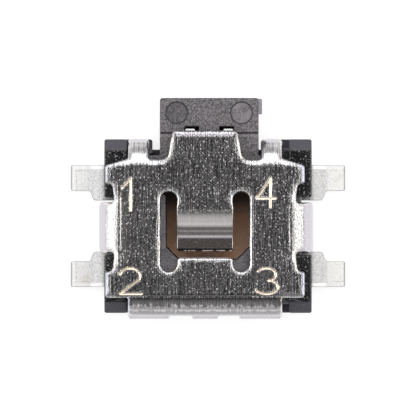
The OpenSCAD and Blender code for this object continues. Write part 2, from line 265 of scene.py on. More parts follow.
# The CAD mesh is joined and its flat areas made one face, then its long outer edges are rounded.
housing_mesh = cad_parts["housing"].data.copy()
housing_mesh.name = "housing_shell"
shape = bmesh.new()
shape.from_mesh(housing_mesh)
bmesh.ops.remove_doubles(shape, verts=shape.verts, dist=2e-7)
bmesh.ops.dissolve_limit(shape, angle_limit=FLAT, verts=shape.verts, edges=shape.edges)
outer_edges = [
    edge for edge in shape.edges
    if edge.is_manifold and edge.is_convex and edge.calc_length() > MOULD_EDGE * MM
    and edge.calc_face_angle() > CORNER
]
bmesh.ops.bevel(
    shape, geom=outer_edges, offset=MOULD_RADIUS * MM, segments=3, profile=0.5,
    affect="EDGES", clamp_overlap=False)
bmesh.ops.triangulate(shape, faces=[f for f in shape.faces if len(f.verts) > 4])
shape.to_mesh(housing_mesh)
shape.free()
housing_mesh.polygons.foreach_set("use_smooth", np.ones(len(housing_mesh.polygons), bool))
housing_mesh.set_sharp_from_angle(angle=SHARP)
housing = placed("housing_shell", housing_mesh)
weighted = housing.modifiers.new("flat_faces_stay_flat", "WEIGHTED_NORMAL")
weighted.keep_sharp = True


def millimetres(start, turn=(0, 0, 0), stretch=(1, 1, 1)):
    """Object coordinates in millimetres, stretched along the axes."""
    return start.node("ShaderNodeMapping", inputs={
        "Vector": start.node("ShaderNodeTexCoord", out="Object"),
        "Rotation": turn,
        "Scale": tuple(1000 * s for s in stretch)})


def noise(where, grains, detail=2.0, rough=0.5):
    """Soft noise with a number of grains to the millimetre."""
    return where.node("ShaderNodeTexNoise", inputs={
        "Vector": where, "Scale": grains, "Detail": detail, "Roughness": rough})


def coated(colour, *coats):
    """A colour under coats laid one after another. Each is a share and a colour, and mixes the
    coat's colour into what lies below it by its share."""
    for share, coat in coats:
        below, above = (
            value if isinstance(value, Wire) else (*value, 1) for value in (colour, coat))
        colour = share.node(
            "ShaderNodeMix", {"data_type": "RGBA"}, {0: share, 6: below, 7: above}, out=2)
    return colour


def bump(height, depth):
    """A Bump node: the wire's height from 0 to 1 stands for a depth in millimetres."""
    return height.node(
        "ShaderNodeBump", inputs={"Height": height, "Distance": depth * MM, "Strength": 1.0})


def finish_material(start, **inputs):
    """Ends a material's tree in one Principled shader."""
    words = {key.replace("_", " "): value for key, value in inputs.items()}
    finish_tree(start.node("ShaderNodeBsdfPrincipled", inputs=words))


where = millimetres(new_material(housing, "black_resin"))
grain = noise(where, 34, 3.0, 0.6)
cloud = noise(where, 4)
glass = noise(where, 46, 1.0).between(0.66, 0.74)
glint = noise(where, 34, 1.0).between(0.64, 0.70)
beside = abs(where.axis("X")).between(*POST_SIDE)
past = abs(where.axis("Y")).between(*POST_FACE)
# The post tops behind the chamfer: smoother, and painted near black as a painted shade under the
# cover's edge.
polished_and_shaded = beside * (1 - past)
finish_material(
    where,
    Base_Color=coated(
        RESIN,
        (cloud.between(0.25, 0.6) * 0.5 + grain.between(0.38, 0.62) * 0.5, RESIN_PALE),
        # Painted sheen on the chamfers that face front and back.
        (beside * past, RESIN_CHAMFER_SHEEN),
        # Painted shade on the post tops, then glass specks, and painted glints on the post tops.
        (polished_and_shaded * 0.97, RESIN_SHADE),
        (glass * 0.35 + glint * polished_and_shaded * 0.62, RESIN_SPECK_AND_GLINT)),
    Roughness=0.40 + grain * 0.25 - glass * 0.1 - polished_and_shaded * 0.30,
    Normal=bump(grain * (1 - polished_and_shaded * 0.55) + glass * 0.6, 0.012),
    IOR=1.45,
)
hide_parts("housing")
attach(housing, "body")


# ----------------------------------------------------------------------
# Lead frames: two stampings of copper alloy, tin plated, moulded into the housing. Each carries
# two terminals that joggle down to the board; one ends in a pad, the other in an open ring.
# ----------------------------------------------------------------------
# The grey is the tin's mottle and also a painted shade on the sloping roots; the darkest colour is
# the sheared edges and also painted shade.
TIN_WARM, TIN_MOTTLE_AND_SHADE, TIN_CUT_AND_SHADE = (0.80, 0.74, 0.62), (0.52, 0.52, 0.53), (0.20, 0.19, 0.19)
# Painted highlights: a white line along the bend and bright bands along the edges.
TIN_BEND_HIGHLIGHT, TIN_EDGE_HIGHLIGHT = (1.0, 1.0, 1.0), (1.0, 1.0, 0.99)
# For each side, lit differently: the tin, painted lighter on the right, its share of painted shade
# on the sloping root, how much painted highlight and shade line its tip ends show, and the painted
# highlight on its tips.
TIN_LIGHT_BY_SIDE = {-1: ((0.93, 0.93, 0.925), 0.50, 1.0, 0.0), 1: ((1.0, 1.0, 0.965), 0.68, 0.0, 0.70)}
TERMINAL_TIP, TERMINAL_BEND, TERMINAL_FRONT = 2.30, 1.98, 1.02
TERMINAL_EDGE = 0.010
TIP_WIDTH, ROOT_WIDTH = 0.43, 0.59
HOUSING_SIDE = 1.73
SPINE = (1.06, 1.31)
LEAD_THICK = 0.12
LEAD_HEIGHTS = {"centre_contact_frame": 0.10, "outer_contact_frame": 0.14}
WELL_Y = 0.145
ARM_HALF, ARM_LAP, RING_OPENING = 0.15, 0.02, 0.30
RING_RADII, PAD_RADIUS = (0.44, 0.63), 0.20
ROLL_ROWS, BURR_ROWS = 6, 3
CLOSEST, NO_POINTS = 0.018, np.zeros((0, 2))


def unit(rows):
    """Each row divided by its length."""
    return rows / np.linalg.norm(rows, axis=1)[:, None]


def rounded_path(corners, step=0.035, turn_steps=7):
    """A closed outline from corners of x, y and radius. A corner's arc runs between the points
    where its circle meets the two sides, and the straight parts are cut into even steps."""
    corners = np.array(corners, float)
    at, radius = corners[:, :2], corners[:, 2]
    back, onward = unit(np.roll(at, 1, 0) - at), unit(np.roll(at, -1, 0) - at)
    half = np.arccos(np.clip((back * onward).sum(1), -1, 1)) / 2
    reach = (radius / np.tan(half))[:, None]
    middle = at + unit(back + onward) * (radius / np.sin(half))[:, None]
    first, last = at + back * reach - middle, at + onward * reach - middle
    sweep = (np.pi - 2 * half)[:, None, None]
    share = np.linspace(0, 1, turn_steps)[None, :, None]
    arc = np.sin((1 - share) * sweep) * first[:, None] + np.sin(share * sweep) * last[:, None]
    path = (arc / np.maximum(np.sin(sweep), 1e-9) + middle[:, None]).reshape(-1, 2)
    path = path[np.linalg.norm(path - np.roll(path, 1, 0), axis=1) > 1e-5]
    side = np.roll(path, -1, 0) - path
    count = np.maximum(np.ceil(np.linalg.norm(side, axis=1) / step - 1e-6), 1).astype(int)
    rank = np.arange(count.sum()) - np.repeat(np.cumsum(count) - count, count)
    part = (rank / np.repeat(count, count))[:, None]
    return np.repeat(path, count, 0) + np.repeat(side, count, 0) * part


def circle_path(middle, radius, steps=48):
    """A closed circle of even steps, counter-clockwise."""
    return polar_grid(np.array([radius]), steps)[0] + middle


def wound(path, ccw):
    """The path turned counter-clockwise or clockwise."""
    x, y = path.T
    area = (x * np.roll(y, -1) - np.roll(x, -1) * y).sum()
    return path if (area > 0) == ccw else path[::-1]


def outward(path):
    """Mitre directions out of the material, which lies left of the path: a step of one along
    them moves both sides by one."""
    side = unit(np.roll(path, -1, 0) - path)
    normal = np.column_stack([side[:, 1], -side[:, 0]])
    before = np.roll(normal, 1, 0)
    return (normal + before) / (1 + (normal * before).sum(1))[:, None]


def spread(xs, ys):
    """All the points of two rows of numbers."""
    return np.stack(np.meshgrid(xs, ys), -1).reshape(-1, 2)


def inside(points, paths):
    """True for points that an odd number of path crossings separates from far away."""
    count = np.zeros(len(points), int)
    x, y = points[:, :1], points[:, 1:]
    for path in paths:
        a, b = path, np.roll(path, -1, 0)
        spans = (a[:, 1] > y) != (b[:, 1] > y)
        rise = np.where(b[:, 1] == a[:, 1], 1, b[:, 1] - a[:, 1])
        count += (spans & (x < a[:, 0] + (y - a[:, 1]) / rise * (b[:, 0] - a[:, 0]))).sum(1)
    return count % 2 == 1


def clear_of(points, paths, gap):
    """True for points at least a gap away from every path's points."""
    far = np.ones(len(points), bool)
    for path in paths:
        far &= (((points[:, None] - path[None]) ** 2).sum(-1).min(1) > gap * gap)
    return far


def fill(paths, extra):
    """Triangles that fill the area inside the paths, through the extra points. The corners count
    the paths' points first, in their order, then the extra points."""
    points = np.concatenate([*paths, extra])
    starts = np.cumsum([0] + [len(p) for p in paths[:-1]])
    edges = np.concatenate([
        np.column_stack([np.arange(len(p)), (np.arange(len(p)) + 1) % len(p)]) + first
        for p, first in zip(paths, starts)])
    done = delaunay_2d_cdt(
        [Vector(p) for p in points.tolist()], edges.tolist(), [], 0, 1e-7)
    source = np.array([s[0] if s else -1 for s in done[3]])
    faces = source[np.array(done[2])]
    faces = faces[(faces >= 0).all(1)]
    return faces[inside(points[faces].mean(1), paths)]


def rim_profile(roll, burr, thick):
    """A plate's edge in section: a quarter circle from the top, the wall, and a small quarter
    circle at the bottom. Gives inset, depth, the outward and upward parts of the normal, and a
    share that is 1 on the rolled edge."""
    up, down = np.linspace(0, np.pi / 2, ROLL_ROWS), np.linspace(0, np.pi / 2, BURR_ROWS)
    return (np.concatenate([roll * (1 - np.sin(up)), burr * (1 - np.cos(down))]),
            np.concatenate([roll * (1 - np.cos(up)), thick - burr * (1 - np.sin(down))]),
            np.concatenate([np.sin(up), np.cos(down)]),
            np.concatenate([np.cos(up), -np.sin(down)]),
            np.concatenate([[0.0], np.ones(ROLL_ROWS - 1), np.full(BURR_ROWS, 0.6)]))


def carried(path, profile, first, size=None):
    """A profile carried along a closed path that has the material on its left. The size, one
    number for each of the path's points, makes the upper edge's quarter circle smaller."""
    inset, depth, out_part, up_part, rim = profile
    rows, n = len(inset), len(path)
    size = np.ones(n) if size is None else size
    size = np.where(np.arange(rows)[:, None] < ROLL_ROWS, size[None], 1.0)[..., None]
    out = outward(path)
    points = np.concatenate([
        path[None] - out[None] * inset[:, None, None] * size,
        depth[:, None, None] * size], -1).reshape(-1, 3)
    normals = np.concatenate([
        unit(out)[None] * out_part[:, None, None],
        np.broadcast_to(up_part[:, None, None], (rows, n, 1))], -1).reshape(-1, 3)
    faces = [q[::-1] for q in grid_quads(rows, n, first, closed=True)]
    return points, normals, faces, np.repeat(rim, n)


def stamped(outer, holes, top, thick, roll, burr, extra=NO_POINTS, pits=(), marks=(), size=None):
    """A closed flat plate. The rim profile runs along its outer path and its holes, and triangles
    fill the top and the bottom between them. A pit is a path with a profile that sinks a flat
    floor. A mark is a grid of x, y, depth and share that takes the place of part of the top.
    Gives points with their depth below the top, normals, faces and shares of rim and stamp."""
    points, normals, faces, shares, first = [], [], [], [], 0
    upper, lower = [], []

    def add(part, turned, quads, rim=0.0, stamp=0.0, at_top=None, at_bottom=None):
        """Adds a part of the shell, keeps the paths that the top or the bottom runs to, and moves
        the count on."""
        nonlocal first
        n = len(part)
        points.append(part)
        normals.append(turned)
        faces.extend(quads)
        shares.append(np.column_stack([np.full(n, rim), np.full(n, stamp)]))
        for met, ids in ((upper, at_top), (lower, at_bottom)):
            if ids is not None:
                met.append((part[ids, :2], first + ids))
        first += n

    for path in [wound(outer, True)] + [wound(h, False) for h in holes]:
        part, turned, quads, rim = carried(
            path, rim_profile(roll, burr, thick), first, size(path) if size else None)
        n = np.arange(len(path))
        add(part, turned, quads, rim, at_top=n, at_bottom=len(part) - len(path) + n)
    for path, profile in pits:
        part, turned, quads, rim = carried(wound(path, False), profile, first)
        n = len(path)
        ground = first + len(part) - n + fill([part[-n:, :2]], NO_POINTS)
        add(part, turned, quads + ground.tolist(), rim, at_top=np.arange(n))
    for x, y, depth, share in marks:
        rows, columns = x.shape
        slope_y, slope_x = np.gradient(depth, y[:, 0], x[0])
        turned = unit(np.stack([slope_x, slope_y, np.ones_like(depth)], -1).reshape(-1, 3))
        ids = np.arange(rows * columns).reshape(rows, columns)
        border = np.concatenate([ids[0, :-1], ids[:-1, -1], ids[-1, :0:-1], ids[:0:-1, 0]])
        part = np.stack([x, y, depth], -1).reshape(-1, 3)
        add(part, turned, grid_quads(rows, columns, first), stamp=share.ravel(), at_top=border)
    for met, up, depth in ((upper, 1, 0.0), (lower, -1, thick)):
        paths, ids = zip(*met)
        keep = extra[inside(extra, paths)]
        keep = keep[clear_of(keep, paths, CLOSEST)]
        corners = np.concatenate([*ids, first + np.arange(len(keep))])
        add(np.column_stack([keep, np.full(len(keep), depth)]),
            np.tile([0.0, 0.0, up], (len(keep), 1)), corners[fill(paths, keep)][:, ::up].tolist())
    return {"flat": np.concatenate(points), "normals": np.concatenate(normals), "faces": faces,
            "shares": np.concatenate(shares), "top": top}


def laid(shell, fold=None):
    """Puts a stamped shell in space. The fold is a function of x, y and depth, and normals turn by
    the inverse transpose of its slopes. With none, the plate stays flat at its top's height."""
    flat, normals = shell["flat"], shell["normals"]
    x, y, d = flat.T
    if fold is None:
        shell["points"] = np.column_stack([x, y, shell["top"] - d])
        return shell
    small = 1e-4
    side_x = fold(x + small, y, d) - fold(x - small, y, d)
    side_y = fold(x, y + small, d) - fold(x, y - small, d)
    side_z = fold(x, y, d - small) - fold(x, y, d + small)
    shell["normals"] = unit(
        np.cross(side_y, side_z) * normals[:, :1] + np.cross(side_z, side_x) * normals[:, 1:2]
        + np.cross(side_x, side_y) * normals[:, 2:])
    shell["points"] = fold(x, y, d)
    return shell


def put_shells(name, *shells):
    """One piece of several closed shells. Its attributes rim and stamp mark the rolled edges and
    the stamped strokes, and its UV map holds the place on the flat sheet, in millimetres."""
    sizes = np.cumsum([0] + [len(s["points"]) for s in shells])
    faces = [[c + first for c in face] for s, first in zip(shells, sizes) for face in s["faces"]]
    whole = {key: np.concatenate([s[key] for s in shells])
             for key in ("points", "normals", "shares", "flat")}
    piece = put_mesh(name, whole["points"], faces, whole["normals"])
    for column, word in enumerate(("rim", "stamp")):
        share = piece.data.attributes.new(word, "FLOAT", "POINT")
        share.data.foreach_set("value", whole["shares"][:, column].astype(np.float32))
    corner = np.zeros(len(piece.data.loops), np.int32)
    piece.data.loops.foreach_get("vertex_index", corner)
    sheet = piece.data.uv_layers.new(name="sheet")
    sheet.data.foreach_set("uv", whole["flat"][corner, :2].astype(np.float32).ravel())
    return piece


def marked(start, word):
    """The piece's own share of that name, such as rim."""
    return start.node("ShaderNodeAttribute", {"attribute_name": word}, out="Fac")


def lead_frame(node, name, side):
    """One lead frame on a side, -1 or 1: the two terminals and their spine, and the inner arm."""
    lift = LEAD_HEIGHTS[node]
    tip, bend, front = TERMINAL_TIP, TERMINAL_BEND, TERMINAL_FRONT
    tip_in, root_in = front - TIP_WIDTH, front - ROOT_WIDTH
    back_end = [
        (SPINE[0], -front, 0.03), (tip, -front, 0.03), (tip, -tip_in, 0.035),
        (bend, -tip_in, 0.06), (bend - 0.06, -root_in, 0.05), (SPINE[1], -root_in, 0.04)]
    ends = rounded_path(back_end + [(x, -y, r) for x, y, r in back_end[::-1]]) * [side, 1]
    extra = spread(np.arange(HOUSING_SIDE - 0.08, bend + 0.12, 0.02),
                   np.arange(-1.0, 1.01, 0.05)) * [side, 1]

    def joggle(x, y, depth):
        """Straight in the housing, then an even slope with eased ends down to the board."""
        slope = np.clip((np.abs(x) - HOUSING_SIDE - 0.01) / (bend - HOUSING_SIDE - 0.01), 0, 1)
        eased_slope = slope - np.sin(2 * np.pi * slope) * 0.07
        return np.column_stack([x, y, LEAD_THICK + lift * (1 - eased_slope) - depth])

    def arm(x0, x1):
        """The inner arm's outline between two places across."""
        low, high = WELL_Y - ARM_HALF, WELL_Y + ARM_HALF
        return rounded_path([(x0, low, 0), (x1, low, 0), (x1, high, 0), (x0, high, 0)], 0.2)

    top = lift + LEAD_THICK
    if side < 0:
        pad = circle_path((0, WELL_Y), PAD_RADIUS)
        inner = [(arm(-SPINE[0] - ARM_LAP, 0), top, LEAD_THICK, 0.005),
                 (pad, top, LEAD_THICK, TERMINAL_EDGE)]
    else:
        sweep = np.linspace(-1, 1, 60) * (math.pi - math.asin(RING_OPENING / RING_RADII[1]))
        arcs = [r * heading(sweep) for r in RING_RADII]
        ring = np.concatenate([arcs[1], arcs[0][::-1]]) + [0, WELL_Y]
        inner = [(ring, top, LEAD_THICK, 0.005),
                 (arm(RING_RADII[0] + 0.05, SPINE[0] + ARM_LAP), top - 1e-3, LEAD_THICK - 2e-3,
                  0.005)]
    piece = put_shells(
        name,
        laid(stamped(ends, [], 0, LEAD_THICK, TERMINAL_EDGE, TERMINAL_EDGE, extra), joggle),
        *(laid(stamped(path, [], high, thick, edge, edge)) for path, high, thick, edge in inner))

    where = millimetres(new_material(piece, f"tin_plate_{name}"))
    tin, root_shade, end_line, tip_highlight = TIN_LIGHT_BY_SIDE[side]
    mottle = noise(where, 36, 1.5, 0.7)
    outwards = where.axis("X") * side
    past_bend, from_tip, from_side = outwards - bend, tip - outwards, front - abs(where.axis("Y"))
    # The root, from the bend back to the housing, gets painted shade.
    shaded_root = past_bend.between(0.06, -0.05)
    on_tip = past_bend.between(0.005, 0.025)
    # Painted highlights along the side edges, along the tip ends on the left, and over the tips
    # near the bend on the right.
    bevel = from_side.between(0.070, 0.058) + from_tip.between(0.078, 0.064) * end_line + (
        on_tip * past_bend.between(0.19, 0.05) * tip_highlight)
    # A thin painted shade line just inside those highlights on the tips.
    line = from_side.band(0.070, 0.082, 0.098, 0.108) + (
        from_tip.band(0.078, 0.088, 0.100, 0.110) * end_line)
    # The sheared edges and the very ends of the tips are darker, and a painted shade lies where
    # the terminals leave the housing.
    cut = (outwards - HOUSING_SIDE).between(0.044, 0.026) * 0.3 + (
        from_tip.between(0.032, 0.016) * 0.5) + marked(where, "rim") * 0.65
    colour = coated(
        tin,
        (noise(where, 3).between(0.55, 0.75) * 0.5, TIN_WARM),
        # A painted highlight along the bend at the foot of the slope.
        (past_bend.band(-0.025, -0.005, 0.015, 0.035) * 0.7, TIN_BEND_HIGHLIGHT),
        (mottle.between(0.45, 0.66) * (0.22 + shaded_root * 0.45) + shaded_root * root_shade, TIN_MOTTLE_AND_SHADE),
        (line * on_tip * mottle.between(0.42, 0.60) * 0.28, TIN_CUT_AND_SHADE),
        (bevel * 0.85, TIN_EDGE_HIGHLIGHT),
        (cut, TIN_CUT_AND_SHADE))
    finish_material(
        where, Base_Color=colour, Metallic=0.12, Roughness=0.42 + mottle * 0.25,
        Normal=bump(mottle, 0.010))
    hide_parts(node)
    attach(piece, "body")


lead_frame("centre_contact_frame", "terminals_left", -1)
lead_frame("outer_contact_frame", "terminals_right", 1)


# ----------------------------------------------------------------------
# Snap disc and film: a thin domed spring of stainless steel that rests on the open ring, and
# over it a brown polyimide film that seals the well. Both give way when the button is pushed.
# ----------------------------------------------------------------------
SPRING_STEEL, SPRING_DARK = (0.60, 0.60, 0.58), (0.45, 0.45, 0.44)
FILM_BROWN, FILM_LIGHT = (1.0, 0.56, 0.345), (1.0, 0.64, 0.44)
FILM_SHADE, FILM_DUST = (0.05, 0.03, 0.022), (0.80, 0.66, 0.52)
DISC_RADIUS, DISC_RIM_Z, DISC_RISE, DISC_THICK = 0.60, 0.26, 0.14, 0.04
DISC_RINGS, DISC_STEPS = 18, 64
FILM_Z, FILM_THICK, FILM_HALF, FILM_CUT = 0.445, 0.04, 0.695, 0.21
FILM_UNDER_TONGUE = (0.12, 0.50)

ball = (DISC_RADIUS ** 2 + DISC_RISE ** 2) / (2 * DISC_RISE)
radii = np.linspace(0.02, DISC_RADIUS, DISC_RINGS)


def dome(thick):
    """A grid over a ball's cap, thickened outwards, with its height over its rim's level."""
    height = np.sqrt((ball + thick) ** 2 - radii ** 2) + DISC_RISE - ball
    high = np.broadcast_to(height[:, None, None], (DISC_RINGS, DISC_STEPS, 1))
    return np.concatenate([polar_grid(radii, DISC_STEPS), high], -1)


cap = np.concatenate([dome(DISC_THICK), dome(0)[::-1]]).reshape(-1, 3) + [0, WELL_Y, DISC_RIM_Z]
cap_faces = [q[::-1] for q in grid_quads(2 * DISC_RINGS, DISC_STEPS, closed=True)]
cap_faces += [list(range(DISC_STEPS)), list(range(len(cap) - DISC_STEPS, len(cap)))[::-1]]
disc = put_mesh("snap_disc_spring", cap, cap_faces)
disc.data.set_sharp_from_angle(angle=SHARP)
lines = noise(millimetres(new_material(disc, "spring_steel"), stretch=(1, 0.1, 1)), 40, 3.0)
finish_material(
    lines, Base_Color=coated(SPRING_STEEL, (lines, SPRING_DARK)),
    Metallic=1.0, Roughness=0.2 + lines * 0.15, Normal=bump(lines, 0.001))
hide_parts("snap_disc")
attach(disc, "body")
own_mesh(disc)

wide, near = FILM_HALF, FILM_HALF - FILM_CUT
film_plan = rounded_path([
    (x, y + WELL_Y, 0.015) for x, y in (
        (-near, -wide), (near, -wide), (wide, -near), (wide, near),
        (near, wide), (-near, wide), (-wide, near), (-wide, -near))])
film = put_shells("protective_film_sheet", laid(
    stamped(film_plan, [], FILM_Z + FILM_THICK, FILM_THICK, 0.006, 0.004)))
where = millimetres(new_material(film, "brown_film"))
cloud = noise(where, 3.2, 3.0)
dust = noise(where, 30).between(0.66, 0.78)
under_tongue = where.axis("Y").between(*FILM_UNDER_TONGUE)
finish_material(
    where,
    Base_Color=coated(
        FILM_BROWN, (cloud.between(0.35, 0.7), FILM_LIGHT),
        (under_tongue * 0.95, FILM_SHADE), (dust * 0.25, FILM_DUST)),
    Roughness=0.34 + cloud * 0.12, Normal=bump(cloud, 0.02), IOR=1.6)
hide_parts("protective_film")
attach(film, "body")
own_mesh(film)


# ----------------------------------------------------------------------
# Push button: one moulding in warm dark grey resin. Behind its head, two guide arms with
# shoulders run in the housing, and a spring arm between them carries the nose under the tongue.
# ----------------------------------------------------------------------
BUTTON_GREY, BUTTON_PALE = (0.036, 0.033, 0.036), (0.185, 0.172, 0.183)
# The first is a painted highlight just behind the head's back step.
BUTTON_HIGHLIGHT, BUTTON_SPECK = (0.36, 0.34, 0.36), (0.34, 0.31, 0.32)
PIN_SMOOTH, PIN_ROUGH = (0.066, 0.061, 0.070), (0.225, 0.208, 0.221)
# Painted shade lines along the head's back step and round the pin marks.
BUTTON_SHADE_LINE = (0.020, 0.018, 0.021)
STUB_GREY, STUB_PALE = (0.30, 0.29, 0.34), (0.42, 0.41, 0.46)
BUTTON_X = 0.02
HEAD_HALF, HEAD_BACK, HEAD_FRONT = 0.825, 1.56, 2.14
HEAD_Z = (0.30, 1.17)
ARM_TOP, ARM_LOW, ARM_OUT, RIB_Z = 1.13, 0.57, 1.08, 0.93
SHOULDER_Y = (0.78, 1.18)
SLOT_OUTER, SLOT_ROOT = 0.415, 1.665
SPRING_Y = (0.55, 1.70)
PIN_X, PIN_Y, PIN_RADIUS, PIN_SINK = 0.54, 1.89, 0.185, 0.020
PIT_ROWS = 5
NOSE_HALF = 0.40
STUB_Y, STUB_TOP, STUB_THICK = (1.87, 2.13), 0.85, 0.35


def pit_profile(turn_radius, sink):
    """A sunk floor's edge in section: a quarter circle down from the top and another to the
    floor. Gives the same as rim_profile."""
    turn = np.linspace(0, np.pi / 2, PIT_ROWS)
    out, up = np.sin(turn), np.cos(turn)
    return (turn_radius * np.concatenate([1 - out, out[::-1] - 1]),
            np.concatenate([turn_radius * (1 - up), sink - turn_radius * (1 - up[::-1])]),
            np.concatenate([out, out[::-1]]),
            np.concatenate([up, up[::-1]]),
            np.zeros(2 * PIT_ROWS))


def both_sides(right):
    """The corners of a right half, then their mirror images back to its start."""
    return right + [(-x, y, r) for x, y, r in right[::-1]]


def head_path(slot_inner, slot_outer, slot):
    """The head from above, with the front ends of the two slots in its back edge."""
    return rounded_path(both_sides([
        (slot_inner, HEAD_BACK, 0.02), (slot_inner, slot, 0.02), (slot_outer, slot, 0.02),
        (slot_outer, HEAD_BACK, 0.02), (HEAD_HALF, HEAD_BACK, 0.03),
        (HEAD_HALF, HEAD_FRONT, 0.05)]), 0.05)


# Each layer of the moulding: its outline, its top and bottom, and its upper and lower edges.
layers = [(head_path(0.24, SLOT_OUTER - 0.018, SLOT_ROOT - 0.036), RIB_Z, HEAD_Z[0], 0.003, 0.02)]
for side in (-1, 1):
    arm_path = rounded_path([
        (SLOT_OUTER, SHOULDER_Y[0], 0.03), (ARM_OUT, SHOULDER_Y[0], 0.03),
        (ARM_OUT, SHOULDER_Y[1], 0.03), (HEAD_HALF, SHOULDER_Y[1], 0.03),
        (HEAD_HALF, 1.62, 0.02), (SLOT_OUTER, 1.62, 0.02)], 0.06) * [side, 1]
    layers.append((arm_path, ARM_TOP, ARM_LOW, 0.018, 0.012))
for half, low_z, high_z in ((0.24, 0.625, RIB_Z), (0.17, 0.70, ARM_TOP)):
    spring_path = rounded_path([
        (-half, SPRING_Y[0], 0.01), (half, SPRING_Y[0], 0.01), (half, SPRING_Y[1], 0.01),
        (-half, SPRING_Y[1], 0.01)], 0.06)
    layers.append((spring_path, high_z, low_z, 0.018, 0.01))
pins = [(circle_path((BUTTON_X + side * PIN_X, PIN_Y), PIN_RADIUS, 64),
         pit_profile(0.009, PIN_SINK)) for side in (-1, 1)]
nose = rounded_path([
    (0.09, 0.625, 0.02), (0.23, 0.505, 0.04), (0.51, 0.505, 0.04), (0.60, 0.625, 0.02),
    (0.60, ARM_TOP, 0.02), (0.458, ARM_TOP, 0.02), (0.23, 0.97, 0.03), (0.09, 0.97, 0.02)], 0.05)
button = put_shells(
    "push_button_moulding",
    laid(stamped(head_path(0.17, SLOT_OUTER, SLOT_ROOT) + [BUTTON_X, 0], [], HEAD_Z[1],
                 HEAD_Z[1] - RIB_Z, 0.02, 0.003, pits=pins)),
    *(laid(stamped(path + [BUTTON_X, 0], [], high, high - low, upper, lower))
      for path, high, low, upper, lower in layers),
    laid(stamped(nose, [], 0, 2 * NOSE_HALF, 0.015, 0.015),
         lambda y, z, depth: np.column_stack([BUTTON_X + NOSE_HALF - depth, y, z])))

start = new_material(button, "warm_grey_resin")
where = millimetres(start)
from_above = millimetres(start, stretch=(1, 1, 0))
grain = noise(where, 50, 1.5, 0.7)
cloud = noise(where, 5)
flow = noise(millimetres(start, stretch=(0.25, 1, 1)), 22)
scratch = noise(millimetres(start, turn=(0, 0, 0.12), stretch=(1, 0.12, 1)), 34)
speck = noise(where, 42, 1.0).between(0.62, 0.72)
on_top = where.axis("Z").between(ARM_TOP - 0.01, ARM_TOP)
past_pins = [
    start.node("ShaderNodeVectorMath", {"operation": "DISTANCE"}, {
        0: from_above, 1: (BUTTON_X + side * PIN_X, PIN_Y, 0)}, out="Value") - PIN_RADIUS
    for side in (-1, 1)]
smooth_pin, rough_pin = (past.between(0, -0.012) * on_top for past in past_pins)
# A painted shade line round the edge of each pin mark.
pin_shade_line = sum(past.band(-0.022, -0.010, 0.002, 0.014) * on_top for past in past_pins)
past_step = where.axis("Y") - HEAD_BACK
# A painted shade line along the head's back step, on top.
step_shade_line = past_step.band(-0.022, -0.014, 0, 0.008) * on_top
finish_material(
    start,
    Base_Color=coated(
        BUTTON_GREY,
        (grain.between(0.36, 0.64), BUTTON_PALE),
        # A painted highlight just behind the head's back step.
        (past_step.band(-0.080, -0.060, -0.026, -0.020) * 0.35, BUTTON_HIGHLIGHT),
        (speck * 0.35 * (1 - smooth_pin), BUTTON_SPECK),
        (smooth_pin * (0.35 + scratch.between(0.45, 0.6) * 0.4), PIN_SMOOTH),
        (rough_pin * cloud.between(0.3, 0.6) * 0.6, PIN_ROUGH),
        (pin_shade_line * 0.85 + step_shade_line * 0.9, BUTTON_SHADE_LINE)),
    Roughness=0.48 + grain * 0.2 - smooth_pin * 0.12,
    Normal=bump(
        grain * (1 - smooth_pin * 0.8) + flow * 0.5 + scratch * smooth_pin * 0.5, 0.010))
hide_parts("push_button")
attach(button, "button")

# The stub of the moulding's gate, torn off at the head's right side.
stub_in, stub_out = HEAD_HALF - 0.03, HEAD_HALF + 0.06
stub_path = rounded_path([
    (stub_in, STUB_Y[0], 0.01), (stub_out, STUB_Y[0], 0.01), (stub_out, STUB_Y[1], 0.015),
    (stub_in, STUB_Y[1], 0.01)], 0.05)
stub = put_shells("gate_stub", laid(stamped(
    stub_path + [BUTTON_X, 0], [], STUB_TOP, STUB_THICK, 0.008, 0.008)))
grain = noise(millimetres(new_material(stub, "torn_resin")), 26, 3.0, 0.6)
finish_material(
    grain, Base_Color=coated(STUB_GREY, (grain, STUB_PALE)), Roughness=0.6,
    Normal=bump(grain, 0.02))
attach(stub, "button")


# ----------------------------------------------------------------------
# Cover: one stamping of bright nickel-plated steel strip, drawn lengthways, so it carries fine
# streaks. Its five flaps fold down over the housing, the two at the sides hook under it, and
# the tongue in its window steps down over the button's nose. Its numbers are stamped in.
# ----------------------------------------------------------------------
STEEL_DARK, STEEL = (0.170, 0.163, 0.168), (0.66, 0.65, 0.655)
# Painted highlight colours for the rolled edges, also used for the glints on the tongue's tip.
HIGHLIGHT_BLUE, HIGHLIGHT_CREAM = (0.722, 0.757, 0.808), (0.817, 0.765, 0.722)
# Apart from the tongue's grey, the warmer grey of its flat end and the stamps' cream, the colours
# below are painted shade, painted highlights and painted reflections.
TONGUE_GREY, RAMP_SHADE = (0.405, 0.39, 0.39), (0.17, 0.155, 0.15)
CREST_HIGHLIGHT, TOE_REFLECTION, TIP_GREY = (0.66, 0.64, 0.65), (0.405, 0.38, 0.415), (0.44, 0.385, 0.365)
BACK_SHADE_LINE, BACK_BEND_SHADE = (0.09, 0.085, 0.09), (0.090, 0.087, 0.092)
BACK_BEND_HIGHLIGHT, BACK_BEND_HALF_SHADE, BACK_LEG_REFLECTION = (0.74, 0.72, 0.74), (0.27, 0.26, 0.275), (0.44, 0.42, 0.46)
SIDE_BEND_HIGHLIGHT, SIDE_BEND_SHADE_SPECK, LEFT_BEND_HIGHLIGHT = (0.62, 0.61, 0.60), (0.22, 0.213, 0.213), (0.80, 0.77, 0.74)
LEG_REFLECTION, FRONT_BEND_REFLECTION, LOBE_EDGE_REFLECTION = (0.60, 0.575, 0.625), (0.52, 0.51, 0.52), (0.38, 0.41, 0.48)
